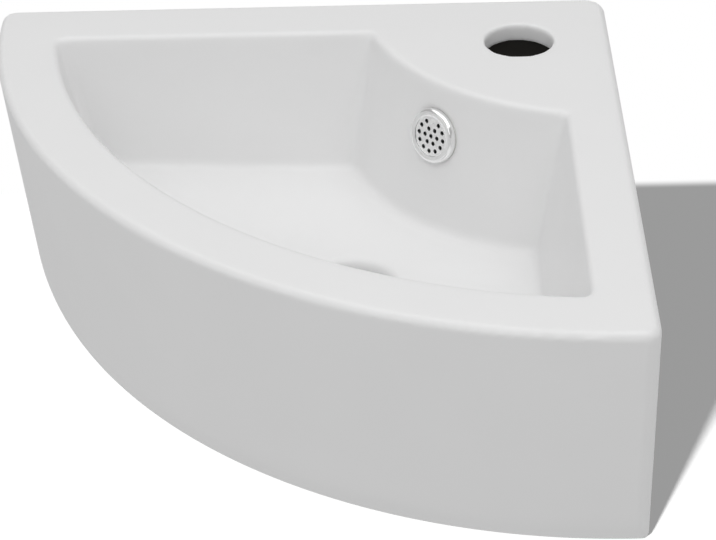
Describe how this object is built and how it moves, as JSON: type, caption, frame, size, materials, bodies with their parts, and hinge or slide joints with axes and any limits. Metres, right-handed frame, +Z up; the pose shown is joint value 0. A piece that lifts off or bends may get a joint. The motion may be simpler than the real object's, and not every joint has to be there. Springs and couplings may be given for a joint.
{
  "type": "corner basin",
  "caption": "Wall-hung quarter-round corner wash basin in white glazed china, with a tap ledge in the corner and a chromed overflow cover.",
  "frame": {"origin": "middle of the bounding box in plan, at the foot of the basin", "axes": "+Z up from the foot to the rim; the back walls lie in the planes at the +Y side (wall A) and the +X side (wall B), and meet at the +X +Y corner"},
  "size_m": [0.3198, 0.3198, 0.125],
  "materials": {
    "glazed_china": "white glazed vitreous china",
    "chrome_plate": "bright chromium plate on moulded plastic",
    "collar_plastic": "natural grey moulded acetal",
    "gasket_rubber": "pale translucent silicone rubber"
  },
  "bodies": {
    "root": {"basin_body": "glazed_china", "overflow_trim_ring": "chrome_plate", "overflow_grille": "chrome_plate", "overflow_snap_collar": "collar_plastic", "overflow_gasket": "gasket_rubber"}
  },
  "joints": []
}
